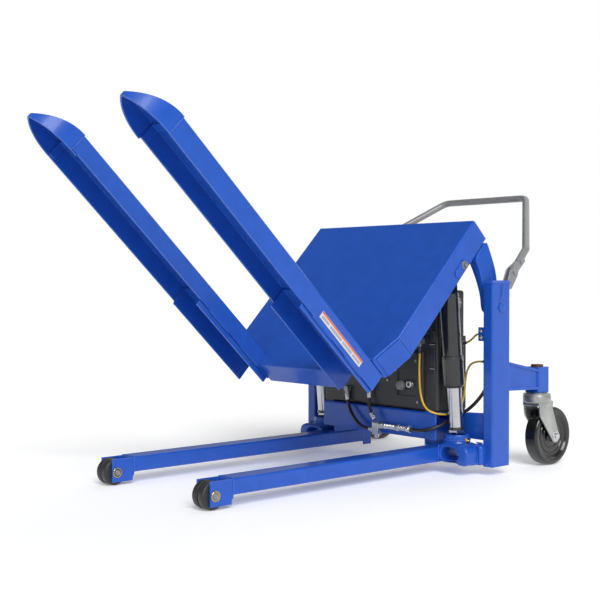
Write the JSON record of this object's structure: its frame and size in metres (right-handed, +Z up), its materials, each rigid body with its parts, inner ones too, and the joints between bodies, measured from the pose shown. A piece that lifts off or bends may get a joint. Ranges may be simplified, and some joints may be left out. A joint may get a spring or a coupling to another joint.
{
  "type": "portable container tilter",
  "caption": "Portable powered container tilter: straddle legs on rollers, tilting chair of hollow forks and pan back, hydraulic cylinders, battery unit, swivel casters and push handle.",
  "frame": {"origin": "on the floor under the middle of the overall width and length", "axes": "+Z up, -Y forward, the way the forks point, +X to the left of an operator who holds the handle and faces forward"},
  "size_m": [0.938, 1.8252, 1.1457],
  "materials": {
    "blue_paint": "gloss powder coat, royal blue",
    "black_paint": "gloss black enamel",
    "chrome": "polished hard chrome",
    "zinc": "bright zinc plate",
    "silver_paint": "satin silver-grey paint",
    "black_plastic": "textured moulded plastic",
    "battery_case": "glossy battery case",
    "phenolic": "gloss moulded phenolic",
    "roller_poly": "dense charcoal nylon",
    "hose_rubber": "smooth hose cover",
    "yellow_pvc": "yellow cable jacket",
    "brass": "machined brass",
    "label": "printed vinyl sticker, no lettering",
    "rust_cap": "rusty brown grease cap",
    "grey_plastic": "moulded grey plastic"
  },
  "bodies": {
    "frame": {"legs": "blue_paint", "roller_forks": "blue_paint", "posts": "blue_paint", "post_caps": "blue_paint", "pivot_pins": "blue_paint", "outriggers": "blue_paint", "foot_pins": "zinc", "cross_shelf": "blue_paint", "rear_beam": "blue_paint", "frame_gussets": "blue_paint", "caster_arms": "blue_paint", "caster_caps": "rust_cap", "roller_axles": "zinc", "battery_box": "black_plastic", "power_hood": "black_plastic", "front_panel": "black_plastic", "batteries": "battery_case", "oil_tank": "grey_plastic", "pump_motor": "black_paint", "valve_block": "silver_paint", "hood_latches": "black_plastic", "panel_bolts": "zinc", "charge_socket": "zinc", "hose_fittings": "zinc", "switch_bracket": "blue_paint", "limit_switch": "brass", "handle_brackets": "silver_paint", "socket_lead": "yellow_pvc", "switch_lead": "yellow_pvc", "hose_left": "hose_rubber", "hose_right": "hose_rubber", "hose_supply": "hose_rubber", "cord_glands": "zinc"},
    "chair": {"fork_left": "blue_paint", "fork_right": "blue_paint", "fork_heels": "blue_paint", "fork_nose_left": "blue_paint", "fork_nose_right": "blue_paint", "back_pan": "blue_paint", "back_frame": "blue_paint", "cylinder_lugs": "blue_paint", "flag_pins": "blue_paint", "pivot_arm_left": "blue_paint", "pivot_arm_right": "blue_paint", "pivot_bushes": "brass", "side_label": "label"},
    "rod_left": {"cylinder_rod_left": "chrome"},
    "rod_right": {"cylinder_rod_right": "chrome"},
    "barrel_left": {"cylinder_barrel_left": "black_paint"},
    "barrel_right": {"cylinder_barrel_right": "black_paint"},
    "roller_left": {"load_roller_left": "roller_poly"},
    "roller_right": {"load_roller_right": "roller_poly"},
    "yoke_left": {"caster_yoke_left": "zinc"},
    "yoke_right": {"caster_yoke_right": "zinc"},
    "wheel_left": {"caster_wheel_left": "phenolic"},
    "wheel_right": {"caster_wheel_right": "phenolic"},
    "handle": {"push_handle": "silver_paint"},
    "knob": {"disconnect_knob": "grey_plastic"}
  },
  "joints": [
    {"name": "chair_tilt", "type": "hinge", "parent": "frame", "child": "chair", "pos_m": [0, 0.43023, 0.556], "axis": [-1, 0, 0], "range_deg": [-44, 46]},
    {"name": "cylinder_lean_left", "type": "hinge", "parent": "frame", "child": "rod_left", "pos_m": [0.325, 0.35923, 0.112], "axis": [-1, 0, 0], "range_deg": [-9.6, 10]},
    {"name": "cylinder_stroke_left", "type": "slide", "parent": "rod_left", "child": "barrel_left", "axis": [0, -0.0892, 0.996], "range_m": [-0.0864, 0.0903]},
    {"name": "roller_spin_left", "type": "hinge", "parent": "frame", "child": "roller_left", "pos_m": [0.256, -0.62677, 0.041], "axis": [1, 0, 0], "continuous": true},
    {"name": "caster_swivel_left", "type": "hinge", "parent": "frame", "child": "yoke_left", "pos_m": [0.42, 0.67223, 0.24], "axis": [0, 0, 1], "continuous": true},
    {"name": "caster_roll_left", "type": "hinge", "parent": "yoke_left", "child": "wheel_left", "pos_m": [0.42, 0.73423, 0.1015], "axis": [1, 0, 0], "continuous": true},
    {"name": "cylinder_lean_right", "type": "hinge", "parent": "frame", "child": "rod_right", "pos_m": [-0.325, 0.35923, 0.112], "axis": [-1, 0, 0], "range_deg": [-9.6, 10]},
    {"name": "cylinder_stroke_right", "type": "slide", "parent": "rod_right", "child": "barrel_right", "axis": [0, -0.0892, 0.996], "range_m": [-0.0864, 0.0903]},
    {"name": "roller_spin_right", "type": "hinge", "parent": "frame", "child": "roller_right", "pos_m": [-0.256, -0.62677, 0.041], "axis": [1, 0, 0], "continuous": true},
    {"name": "caster_swivel_right", "type": "hinge", "parent": "frame", "child": "yoke_right", "pos_m": [-0.42, 0.67223, 0.24], "axis": [0, 0, 1], "continuous": true},
    {"name": "caster_roll_right", "type": "hinge", "parent": "yoke_right", "child": "wheel_right", "pos_m": [-0.42, 0.73423, 0.1015], "axis": [1, 0, 0], "continuous": true},
    {"name": "handle_fold", "type": "hinge", "parent": "frame", "child": "handle", "pos_m": [0, 0.51023, 0.676], "axis": [1, 0, 0], "range_deg": [-120, 0]},
    {"name": "disconnect_turn", "type": "hinge", "parent": "frame", "child": "knob", "pos_m": [0.13, 0.30123, 0.284], "axis": [0, 1, 0], "range_deg": [0, 90]}
  ],
  "couplings": [
    {"joint": "cylinder_lean_left", "follows": "chair_tilt", "ratio": 0.2141},
    {"joint": "cylinder_stroke_left", "follows": "chair_tilt", "m_per_rad": 0.1118},
    {"joint": "cylinder_lean_right", "follows": "chair_tilt", "ratio": 0.2141},
    {"joint": "cylinder_stroke_right", "follows": "chair_tilt", "m_per_rad": 0.1118}
  ]
}
